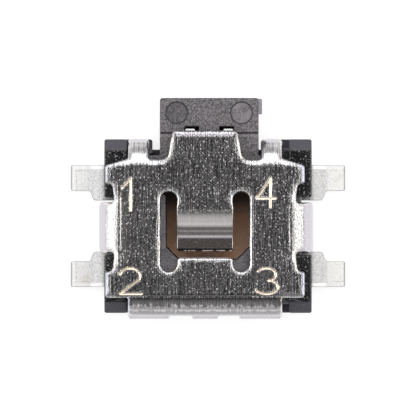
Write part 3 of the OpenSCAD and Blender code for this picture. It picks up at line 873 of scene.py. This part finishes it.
VISOR_SHADE, STAMP_CREAM, TIP_EDGE_SHADE = (0.17, 0.155, 0.155), (0.90, 0.76, 0.60), (0.07, 0.055, 0.055)
COVER_X, COVER_Y, COVER_TOP = -0.05, -0.025, 1.35
SHEET, ROLL, BURR = 0.15, 0.040, 0.012
SIDE_OUTER, FRONT_OUTER, BACK_OUTER = 0.398, 0.49, 0.307
SIDE_QUARTER, FRONT_QUARTER, BACK_QUARTER = (
    outer * math.pi / 2 for outer in (SIDE_OUTER, FRONT_OUTER, BACK_OUTER))
SIDE_BEND, FRONT_BEND, BACK_BEND = 1.372, 0.99, 1.155
SIDE_LEG, FRONT_LEG, BACK_LEG = 0.652, 0.26, 0.543
FLARE, FLARE_POWER, RIGHT_SPLAY = 0.42, 2.5, 0.044
CLAW_OUTER, CLAW_REACH, CLAW_HALF = 0.19, 0.12, 0.37
CLAW_QUARTER = CLAW_OUTER * math.pi / 2
SIDE_FLAP_HALF = 0.42
LOBE_X, LOBE_BACK, LOBE_FRONT = 1.665, 1.17, 1.04
RELIEF_X, RELIEF_Y = 1.54, 0.73
FLAP_X = (0.932, 1.292)
FRONT_EDGE, VISOR_TIP, VISOR_DROOP = 1.15, 1.62, 1.44
VISOR_SIDE = (0.60, 0.78)
TONGUE_HALF, TONGUE_ROOT, TONGUE_END = 0.47, 0.345, -0.395
TONGUE_TILT, TONGUE_DROP = math.radians(34), 0.215
CREST_OUTER, TOE_TOP = 0.60, 0.134
SLOT_X, SLOT_Y = 0.74, (-0.73, 0.595)
WINDOW_BACK = -0.50
NOTCHES, NOTCH_DEEP = ((-0.405, 0.35), (0.40, 0.32)), 0.18
CREASE_Y, CREASE_X, CREASE_WIDTH = -1.145, 1.420, 0.016
BACK_CREASE, SIDE_CREASE, VISOR_FALL = 0.006, 0.0045, 0.004
EDGE_WIDTH, EDGE_FALL, EDGE_ROWS, TONGUE_EDGE = 0.13, 0.024, (0.066, 0.09, 0.12), 0.35

# The tongue's bends: how long its crest, its ramp and its toe are on the flat sheet.
slope_sin, slope_cos = math.sin(TONGUE_TILT), math.cos(TONGUE_TILT)
ramp_fall = TONGUE_DROP - (CREST_OUTER + TOE_TOP) * (1 - slope_cos)
crest_long, ramp_long, toe_long = (
    CREST_OUTER * TONGUE_TILT, ramp_fall / slope_sin, TOE_TOP * TONGUE_TILT)
toe_end_y = TONGUE_ROOT - (CREST_OUTER + TOE_TOP) * slope_sin - (
    ramp_fall / math.tan(TONGUE_TILT))
ramp_y = TONGUE_ROOT - crest_long
toe_y = ramp_y - ramp_long
flat_y = toe_y - toe_long
tip_y = flat_y - (toe_end_y - TONGUE_END)


def folded_down(run, depth, outer, leg):
    """How far out and how far down a flap's point lies: a quarter turn of the outer radius, then
    a straight leg and, where the leg has a length, a smaller quarter turn inwards and a claw."""
    turn = np.clip(run / outer, 0, np.pi / 2)
    out = (outer - depth) * np.sin(turn) + np.minimum(run, 0)
    down = outer - (outer - depth) * np.cos(turn)
    past = np.maximum(run - outer * np.pi / 2, 0)
    if leg is None:
        return out, down + past
    hook = np.clip((past - leg) / CLAW_OUTER, 0, np.pi / 2)
    straight = np.maximum(past - leg - CLAW_QUARTER, 0)
    return (out - (CLAW_OUTER - depth) * (1 - np.cos(hook)) - straight,
            down + np.minimum(past, leg) + (CLAW_OUTER - depth) * np.sin(hook))


def tongue_bent(run, depth):
    """How far back and how far down a point of the tongue lies: a crest, a ramp, a toe and a
    flat end, each starting where the one before it stops."""
    crest = np.clip(run, 0, crest_long) / CREST_OUTER
    ramp = np.clip(run - crest_long, 0, ramp_long)
    left = TONGUE_TILT - np.clip(run - crest_long - ramp_long, 0, toe_long) / TOE_TOP
    flat = np.maximum(run - crest_long - ramp_long - toe_long, 0)
    back = ((CREST_OUTER - depth) * np.sin(crest) + ramp * slope_cos
            + (TOE_TOP + depth) * (slope_sin - np.sin(left)) + flat)
    down = (CREST_OUTER - (CREST_OUTER - depth) * np.cos(crest) + ramp * slope_sin
            + (TOE_TOP + depth) * (np.cos(left) - slope_cos))
    return back + np.minimum(run, 0), down


def eased(value, low, high):
    """Runs smoothly from 0 where the value is low to 1 where it is high."""
    share = np.clip((value - low) / (high - low), 0, 1)
    return share * share * (3 - 2 * share)


def cover_fold(x, y, depth):
    """The flat stamping folded up: each point belongs to the plate, the tongue or one flap. The
    plate beside a flap is drawn down with it, less and less with the distance. A low crease, a
    bell curve in section, runs along the back bend and the side bends, and the visor droops with
    the square of the distance."""
    across, along = np.abs(x), np.abs(y)
    side_share = 1 - eased(along, SIDE_FLAP_HALF, SIDE_FLAP_HALF + 0.26)
    out, down = folded_down(across - SIDE_BEND, depth, SIDE_OUTER, SIDE_LEG)
    out = out + np.where(x > 0, RIGHT_SPLAY, 0) * eased(across, SIDE_BEND + 0.3, SIDE_BEND + 0.9)
    x_out = x + side_share * (np.sign(x) * (SIDE_BEND + out) - x)
    z_side = -depth - side_share * (down - depth)
    beside_visor = eased(across, *VISOR_SIDE)
    front_share = beside_visor * (1 - 0.6 * eased(across, FLAP_X[1] + 0.02, LOBE_X))
    back_share = 1 - eased(across, FLAP_X[1], FLAP_X[1] + 0.25)
    end_share = np.where(y > 0, front_share, back_share)
    bend = np.where(y > 0, FRONT_BEND, BACK_BEND)
    outer = np.where(y > 0, FRONT_OUTER, BACK_OUTER)
    out, down = folded_down(along - bend, depth, outer, None)
    out = out + FLARE * np.maximum(along - bend - outer * np.pi / 2, 0) ** FLARE_POWER
    y_out = y + end_share * (np.sign(y) * (bend + out) - y)
    z_end = -depth - end_share * (down - depth)
    crease = BACK_CREASE * np.exp(-((y - CREASE_Y) / CREASE_WIDTH) ** 2)
    crease += SIDE_CREASE * side_share * np.exp(-((across - CREASE_X) / CREASE_WIDTH) ** 2)
    droop = np.clip((y - VISOR_DROOP) / (VISOR_TIP - VISOR_DROOP), 0, 1) ** 2
    crease += VISOR_FALL * droop * (1 - beside_visor)
    place = np.stack([x, y, -depth - crease], 0)
    place = np.where(across > SIDE_BEND, [x_out, y, z_side - crease], place)
    place = np.where(along > bend, [x_out, y_out, z_end - crease], place)
    on_tongue = (across < TONGUE_HALF + 1e-6) & (y < TONGUE_ROOT) & (y > tip_y - 0.01)
    back, down = tongue_bent(TONGUE_ROOT - y, depth)
    place = np.where(on_tongue, [x, TONGUE_ROOT - back, -down], place)
    return place.T + [COVER_X, COVER_Y, COVER_TOP]


claw_x = SIDE_BEND + SIDE_QUARTER + SIDE_LEG
side_end = claw_x + CLAW_QUARTER + CLAW_REACH
front_end = FRONT_BEND + FRONT_QUARTER + FRONT_LEG
back_end = -(BACK_BEND + BACK_QUARTER + BACK_LEG)
flap_back = [
    (LOBE_X, -RELIEF_Y, 0.045), (RELIEF_X, -RELIEF_Y, 0.074), (RELIEF_X, -SIDE_FLAP_HALF, 0.06),
    (claw_x, -SIDE_FLAP_HALF, 0.08), (claw_x + 0.1, -CLAW_HALF, 0.08),
    (side_end, -CLAW_HALF, 0.05)]
right_side = [
    (FLAP_X[1], back_end, 0.05), (FLAP_X[1], -LOBE_BACK, 0.035), (LOBE_X, -LOBE_BACK, 0.06),
    *flap_back, *[(x, -y, r) for x, y, r in flap_back[::-1]],
    (LOBE_X, LOBE_FRONT, 0.07), (FLAP_X[1], LOBE_BACK, 0.05), (FLAP_X[1], front_end, 0.05),
    (FLAP_X[0], front_end, 0.05), (FLAP_X[0], FRONT_EDGE, 0.06), (0.625, FRONT_EDGE, 0.1),
    (0.545, VISOR_TIP, 0.07),
]
notches = [
    corner for middle, wide in NOTCHES for corner in (
        (middle - wide / 2, back_end, 0.05), (middle - wide / 2, back_end + NOTCH_DEEP, 0.03),
        (middle + wide / 2, back_end + NOTCH_DEEP, 0.03), (middle + wide / 2, back_end, 0.05))]
outline = rounded_path(notches + both_sides(right_side), step=0.033)
slot_r = (SLOT_X - TONGUE_HALF) / 2 - 1e-3
window = rounded_path(both_sides([
    (TONGUE_HALF, tip_y, 0.05), (TONGUE_HALF, SLOT_Y[1], slot_r), (SLOT_X, SLOT_Y[1], slot_r),
    (SLOT_X, SLOT_Y[0], slot_r), (TONGUE_HALF, SLOT_Y[0], slot_r),
    (TONGUE_HALF, WINDOW_BACK, 0.05)]), step=0.033, turn_steps=11)

# Rows of extra points along every bend, so that the flat triangles fold evenly.
side_rows = SIDE_BEND + np.concatenate([
    [0], np.linspace(0.015, 0.075, 5), np.linspace(0.1, SIDE_QUARTER, 17),
    SIDE_QUARTER + np.linspace(0.1, SIDE_LEG - 0.1, 6),
    SIDE_QUARTER + SIDE_LEG + np.linspace(0, CLAW_QUARTER, 10)])
front_rows = FRONT_BEND + np.concatenate([
    np.linspace(0, FRONT_QUARTER, 20), FRONT_QUARTER + np.array([0.1, 0.2])])
back_rows = -BACK_BEND - np.concatenate([
    np.linspace(0.035, BACK_QUARTER, 18), BACK_QUARTER + np.array([0.1, 0.2, 0.28])])
tongue_rows = TONGUE_ROOT - np.concatenate([
    np.linspace(0, crest_long, 10), crest_long + np.linspace(0.05, ramp_long - 0.04, 3),
    crest_long + ramp_long + np.linspace(0, toe_long, 7),
    crest_long + ramp_long + toe_long + np.array([0.06, 0.11])])
flap_columns, end_columns = np.arange(-0.36, 0.361, 0.06), np.arange(0.60, 1.62, 0.06)
bend_points = np.concatenate([
    spread(side_rows, flap_columns), spread(-side_rows, flap_columns),
    spread(end_columns, front_rows), spread(-end_columns, front_rows),
    spread(np.arange(-0.56, 0.57, 0.08), np.arange(VISOR_DROOP, 1.60, 0.02)),
    spread(np.arange(-1.26, 1.27, 0.07), back_rows),
    spread(np.arange(-1.60, 1.61, 0.05), CREASE_Y + np.linspace(-0.03, 0.03, 5)),
    spread(np.arange(-0.44, 0.45, 0.08), tongue_rows),
])


def arc_points(middle, radii, from_deg, to_deg):
    """Points of part of an ellipse, from one angle to another."""
    return heading(np.radians(np.linspace(from_deg, to_deg, 24))) * radii + middle


DIGITS = {
    "1": [np.array([(0.12, 0.70), (0.62, 1.0), (0.62, 0.0)])],
    "2": [np.concatenate([arc_points((0.48, 0.70), (0.44, 0.30), 168, -32),
                          [(0.05, 0.02), (0.05, 0.0), (0.98, 0.0)]])],
    "3": [np.concatenate([arc_points((0.45, 0.75), (0.42, 0.25), 150, -75),
                          arc_points((0.46, 0.27), (0.50, 0.27), 78, -155)])],
    "4": [np.array([(0.98, 0.30), (0.02, 0.30), (0.72, 1.0), (0.72, 0.0)])],
}
DIGIT_BOXES = {"1": (-1.46, -1.18, 0.26, 0.80), "2": (-1.48, -1.10, -1.13, -0.70),
               "3": (0.80, 1.18, -1.13, -0.70), "4": (0.81, 1.13, 0.32, 0.80)}
STROKE, STROKE_DEPTH, MARK_MARGIN, MARK_CELL = 0.0125, 0.011, 0.05, 0.009


def stamped_mark(digit, x0, x1, y0, y1):
    """A grid over a number's place. Its depth is a round groove along the strokes with a low
    burr on each side: both are functions of the distance to the nearest stroke."""
    x, y = np.meshgrid(np.arange(x0 - MARK_MARGIN, x1 + MARK_MARGIN, MARK_CELL),
                       np.arange(y0 - MARK_MARGIN, y1 + MARK_MARGIN, MARK_CELL))
    place = np.stack([x, y], -1).reshape(-1, 1, 2)
    nearest = np.full(x.size, 9.0)
    for stroke in DIGITS[digit]:
        stroke = stroke * [x1 - x0, y1 - y0] + [x0, y0]
        a, b = stroke[None, :-1], stroke[None, 1:]
        along = ((place - a) * (b - a)).sum(-1) / np.maximum(((b - a) ** 2).sum(-1), 1e-9)
        foot = a + np.clip(along, 0, 1)[..., None] * (b - a)
        nearest = np.minimum(nearest, np.linalg.norm(place - foot, axis=-1).min(1))
    away = nearest.reshape(x.shape) / STROKE
    groove = np.exp(-away ** 2) * STROKE_DEPTH
    burr = np.exp(-((away - 1.7) / 0.6) ** 2) * STROKE_DEPTH * 0.45
    edge = np.minimum.reduce([x - x[0, 0], x[0, -1] - x, y - y[0, 0], y[-1, 0] - y])
    fade = np.clip(edge / 0.02, 0, 1)
    return x, y, (groove - burr) * fade, np.clip(1.6 - away * 0.8, 0, 1) * fade


def edge_size(at):
    """The edges' size: whole all round the plate, but a third on the tongue."""
    on_tongue = (1 - eased(np.abs(at[:, 0]), 0.48, 0.56)) * (1 - eased(at[:, 1], 0.30, 0.45)) * (
        eased(at[:, 1], -0.475, -0.455))
    return 1 - (1 - TONGUE_EDGE) * on_tongue


def drawn_in(shell, paths, width, fall):
    """The top near the sheared paths is drawn down a little: the depth grows with the square of
    the share of the width that is left to the nearest path, and the normals lean with it."""
    flat, normals = shell["flat"], shell["normals"]
    rows = np.flatnonzero(flat[:, 2] < SHEET / 2)
    edge = np.concatenate(paths)
    near = np.concatenate([
        ((flat[part, None, :2] - edge[None]) ** 2).sum(-1).argmin(1)
        for part in np.array_split(rows, max(len(rows) // 400, 1))])
    toward = edge[near] - flat[rows, :2]
    away = np.linalg.norm(toward, axis=1)
    left = np.clip(1 - away / width, 0, 1)
    fall = fall * edge_size(flat[rows, :2])
    flat[rows, 2] += fall * left ** 2
    lean = 2 * fall / width * left * normals[rows, 2] / np.maximum(away, 1e-3)
    normals[rows, :2] += toward * lean[:, None]
    shell["normals"] = unit(normals)
    return shell


# Rows of points follow the sheared edges too, for the top that is drawn down towards them.
cut_paths = [wound(outline, True), wound(window, False)]
bands = []
for path in cut_paths:
    for inset in EDGE_ROWS:
        band = path - outward(path) * inset
        bands.append(band[clear_of(band, cut_paths, inset - 0.006)])
bend_points = bend_points[clear_of(bend_points, cut_paths, 0.14)]
bend_points = bend_points[clear_of(bend_points, [np.concatenate(bands)], 0.022)]
marks = [stamped_mark(digit, x0 - COVER_X, x1 - COVER_X, y0 - COVER_Y, y1 - COVER_Y)
         for digit, (x0, x1, y0, y1) in DIGIT_BOXES.items()]
blank = stamped(outline, [window], COVER_TOP, SHEET, ROLL, BURR,
                np.concatenate([*bands, bend_points]), marks=marks, size=edge_size)
cover = put_shells(
    "cover_shell", laid(drawn_in(blank, cut_paths, EDGE_WIDTH, EDGE_FALL), cover_fold))

start = new_material(cover, "drawn_steel")
sheet = start.node("ShaderNodeUVMap", {"uv_map": "sheet"})


def sheet_noise(x_grains, y_grains, detail=1.0, rough=0.5):
    """Soft noise on the flat sheet, with a number of grains to the millimetre each way."""
    where = sheet.node(
        "ShaderNodeMapping", inputs={"Vector": sheet, "Scale": (x_grains, y_grains, 1)})
    return noise(where, 1, detail, rough)


def larger(one, two):
    """The larger of two wires."""
    return one.math("MAXIMUM", one, two)


right, front = sheet.axis("X"), sheet.axis("Y")
back, across, along = front * -1, abs(right), abs(front)
streak, fine = sheet_noise(56, 2.6, 1.0, 0.6), sheet_noise(52, 26, 1.0, 0.6)
cloud, hue = sheet_noise(2.2, 1.6, 2.0), sheet_noise(2.6, 2.6)
pit = sheet_noise(34, 22).between(0.62, 0.72)
broken = (streak * 0.4 + fine * 0.6).between(0.40, 0.56)
tone = (streak * 0.6 + fine * 0.4 + cloud * 0.12 - 0.06).between(0.40, 0.60)

# The tongue is ironed smooth. Both ends of its ramp get painted shade, its crest a painted
# highlight, its toe a painted reflection, its flat end a warmer grey, and its tip's edge a painted
# shade line broken by painted glints.
in_tongue = across.between(TONGUE_HALF + 0.02, TONGUE_HALF)
from_tip, down_ramp = front - tip_y, ramp_y - front
ragged = front + sheet_noise(18, 7) * 0.12 - 0.06
ironed = (ragged.between(TONGUE_ROOT - 0.03, TONGUE_ROOT - 0.09)
          * from_tip.between(-0.01, 0) * in_tongue)
ramp = down_ramp / ramp_long
ramp_shade_bands = (ramp.band(-0.02, 0.08, 0.34, 0.42) + ramp.band(0.58, 0.66, 0.94, 1.04)) * ironed
# A painted highlight on the crest, just before the ramp.
crest_end = down_ramp.band(-0.11, -0.05, -0.010, -0.004)
tongue_flat = front.between(flat_y, flat_y - 0.02) * ironed
# A lavender painted reflection on the toe.
toe = ramp.between(0.98, 1.06) * (1 - tongue_flat) * ironed
# A painted shade line on the tip's edge, broken by painted glints.
tip_edge = from_tip.band(-0.012, -0.006, 0.042, 0.055) * in_tongue
tip_glints = from_tip.between(0.026, 0.016) * sheet_noise(13, 1).between(0.48, 0.54)

# Each run is how far a place lies past the start of a flap's bend, on the flat sheet.
side_run, front_run, back_run = across - SIDE_BEND, front - FRONT_BEND, back - BACK_BEND
# The back bend's painted bands of shade and highlight get wavy edges.
waved = back_run + sheet_noise(15, 11, 2.0) * 0.20 - 0.10
on_flap = along.between(SIDE_FLAP_HALF + 0.08, SIDE_FLAP_HALF + 0.02)
legs = (side_run.between(0.25, 0.37) * on_flap
        + front_run.between(0.50, 0.56) + back_run.between(0.385, 0.445))
side_bend = side_run.between(0.038, 0.088) * on_flap
# Specks of painted shade in the side bends' painted highlight, more on the right.
bend_shade_specks = fine.between(0.46, 0.58) * (0.45 + right.between(-0.1, 0.1) * 0.5)
# A painted highlight on the plate beside the left bend.
beside_left = (right.between(-1.20, -1.34) * side_run.between(0.078, 0.038)
               * along.between(0.66, 0.46))
front_bend = front_run.between(0.03, 0.13) * across.between(0.86, 0.94)
lobe_edge = (across.between(LOBE_X - 0.065, LOBE_X - 0.025)
             * along.between(RELIEF_Y - 0.11, RELIEF_Y - 0.01) * (1 - legs))
# Painted shade in streaks across the visor's droop.
visor_edge = front.between(VISOR_DROOP, VISOR_DROOP + 0.05) * across.between(0.66, 0.60)
visor_shade_streaks = (streak * 0.5 + fine * 0.5).between(0.56, 0.42)

smooth = 1 - larger(ironed * 0.85, larger(
    legs * 0.8, front_bend * 0.7 + back_run.between(-0.005, 0.045) * 0.8))
finish_material(
    start,
    Base_Color=coated(
        STEEL_DARK,
        (tone, STEEL),
        (ironed * 0.9, TONGUE_GREY),
        # Painted shade on the ramp, a painted highlight on the crest, a painted reflection on the
        # toe, and a warmer grey on the flat end.
        (ramp_shade_bands * 0.75, RAMP_SHADE),
        (crest_end * ironed * 0.6, CREST_HIGHLIGHT),
        (toe * 0.6, TOE_REFLECTION),
        (tongue_flat * 0.85, TIP_GREY),
        # Painted bands on the back bend: a shade line before it, shade at its start, a highlight,
        # then a half shade.
        (back_run.band(-0.060, -0.040, -0.012, -0.006) * 0.8, BACK_SHADE_LINE),
        (back_run.between(-0.005, 0.020) * waved.between(0.205, 0.105) * 0.88, BACK_BEND_SHADE),
        (waved.between(0.135, 0.205) * back_run.between(0.305, 0.245) * 0.75, BACK_BEND_HIGHLIGHT),
        (waved.between(0.245, 0.295) * back_run.between(0.445, 0.395) * 0.8, BACK_BEND_HALF_SHADE),
        # A painted highlight on the side bends, broken by painted shade specks.
        (side_bend * 0.75, SIDE_BEND_HIGHLIGHT),
        (side_bend * bend_shade_specks, SIDE_BEND_SHADE_SPECK),
        # Painted reflections on the flaps' legs and at the foot of the back flap.
        (legs * 0.9, LEG_REFLECTION),
        (back_run.between(0.425, 0.485) * 0.9, BACK_LEG_REFLECTION),
        # A painted highlight beside the left bend.
        (beside_left * 0.45, LEFT_BEND_HIGHLIGHT),
        # A painted reflection on the front bends.
        (front_bend * front_run.between(0.51, 0.45) * 0.45, FRONT_BEND_REFLECTION),
        # A painted highlight along the rolled edges, broken by the streaks.
        (marked(start, "rim").between(0.05, 0.6) * (0.12 + broken * 0.72),
         coated(HIGHLIGHT_BLUE, (hue.between(0.40, 0.60), HIGHLIGHT_CREAM))),
        # A bluish painted reflection along the lobes' side edges.
        (lobe_edge * (0.70 + fine * 0.3), LOBE_EDGE_REFLECTION),
        # Painted shade in streaks on the visor's droop.
        (visor_edge * (0.34 + visor_shade_streaks * 0.62), VISOR_SHADE),
        (marked(start, "stamp"), STAMP_CREAM),
        # A painted shade line on the tongue tip's edge, broken by painted glints.
        (tip_edge * (1 - tip_glints), TIP_EDGE_SHADE),
        (tip_edge * tip_glints, HIGHLIGHT_CREAM)),
    Metallic=1.0, Roughness=0.17 + fine * 0.14 + pit * 0.10,
    Normal=bump((streak + fine * 0.8 + pit * 0.4) * smooth, 0.0040))
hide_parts("cover")
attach(cover, "body")


# ----------------------------------------------------------------------
# Finish: the view layer is brought up to date.
# ----------------------------------------------------------------------
bpy.context.view_layer.update()
